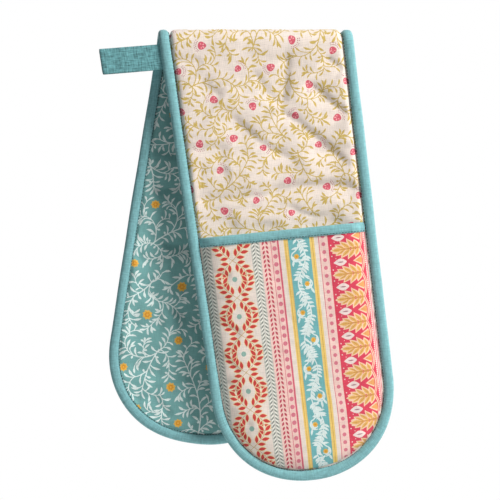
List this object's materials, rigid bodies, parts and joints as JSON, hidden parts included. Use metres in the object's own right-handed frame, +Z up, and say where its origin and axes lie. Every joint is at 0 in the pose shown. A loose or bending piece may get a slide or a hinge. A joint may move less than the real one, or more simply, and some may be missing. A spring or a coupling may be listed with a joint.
{
  "type": "double oven glove",
  "caption": "Padded double oven glove hanging folded over a rail, with a hand pocket at each round end, bound edges and a hanging loop.",
  "frame": {"origin": "on the line of the rail that the glove hangs over, under the middle of the fold", "axes": "+Z up, +X along the rail to the right seen from the front, +Y from the front half to the back half"},
  "size_m": [0.2974, 0.0566, 0.4539],
  "materials": {
    "cream_vine_cotton": "matt printed cotton",
    "teal_vine_cotton": "matt printed cotton",
    "striped_border_cotton": "matt printed cotton",
    "teal_tape_cotton": "matt plain cotton",
    "white_wadding": "soft felt",
    "teal_thread": "cotton thread"
  },
  "bodies": {
    "back_half": {"back_outer_cloth": "cream_vine_cotton", "back_wadding": "white_wadding", "back_lining": "teal_vine_cotton", "back_edge_binding": "teal_tape_cotton", "back_outer_seam": "teal_thread", "back_inner_seam": "teal_thread", "fold_outer_cloth": "cream_vine_cotton", "fold_wadding": "white_wadding", "fold_lining": "teal_vine_cotton", "fold_left_binding": "teal_tape_cotton", "fold_right_binding": "teal_tape_cotton", "fold_left_outer_seam": "teal_thread", "fold_left_inner_seam": "teal_thread", "fold_right_outer_seam": "teal_thread", "fold_right_inner_seam": "teal_thread"},
    "front_half": {"front_outer_cloth": "cream_vine_cotton", "front_wadding": "white_wadding", "front_lining": "teal_vine_cotton", "front_edge_binding": "teal_tape_cotton", "front_outer_seam": "teal_thread", "front_inner_seam": "teal_thread"},
    "front_pocket": {"front_pocket_cloth": "striped_border_cotton", "front_pocket_wadding": "white_wadding", "front_pocket_lining": "cream_vine_cotton", "front_mouth_binding": "teal_tape_cotton", "front_mouth_seam": "teal_thread"},
    "back_pocket": {"back_pocket_cloth": "striped_border_cotton", "back_pocket_wadding": "white_wadding", "back_pocket_lining": "cream_vine_cotton", "back_mouth_binding": "teal_tape_cotton", "back_mouth_seam": "teal_thread"},
    "loop": {"hanging_loop": "teal_tape_cotton"}
  },
  "joints": [
    {"name": "fold", "type": "hinge", "parent": "back_half", "child": "front_half", "pos_m": [0, 0, 0], "axis": [-1, 0, 0], "range_deg": [0, 179], "deforming": ["fold_outer_cloth", "fold_wadding", "fold_lining", "fold_left_binding", "fold_right_binding", "fold_left_outer_seam", "fold_left_inner_seam", "fold_right_outer_seam", "fold_right_inner_seam"]},
    {"name": "front_pocket_opening", "type": "hinge", "parent": "front_half", "child": "front_pocket", "pos_m": [0.05807, -0.0148, -0.42381], "axis": [0.9914, 0, 0.1305], "range_deg": [0, 8], "stiffness_Nm_per_rad": 0.4, "springref_deg": -4.58},
    {"name": "back_pocket_opening", "type": "hinge", "parent": "back_half", "child": "back_pocket", "pos_m": [-0.06286, 0.0148, -0.38812], "axis": [-0.9914, 0, 0.1309], "range_deg": [0, 8], "stiffness_Nm_per_rad": 0.4, "springref_deg": -4.58},
    {"name": "loop_swing", "type": "hinge", "parent": "front_half", "child": "loop", "pos_m": [-0.09349, -0.011, -0.01268], "axis": [-0.1305, 0, 0.9914], "range_deg": [-45, 90]}
  ]
}
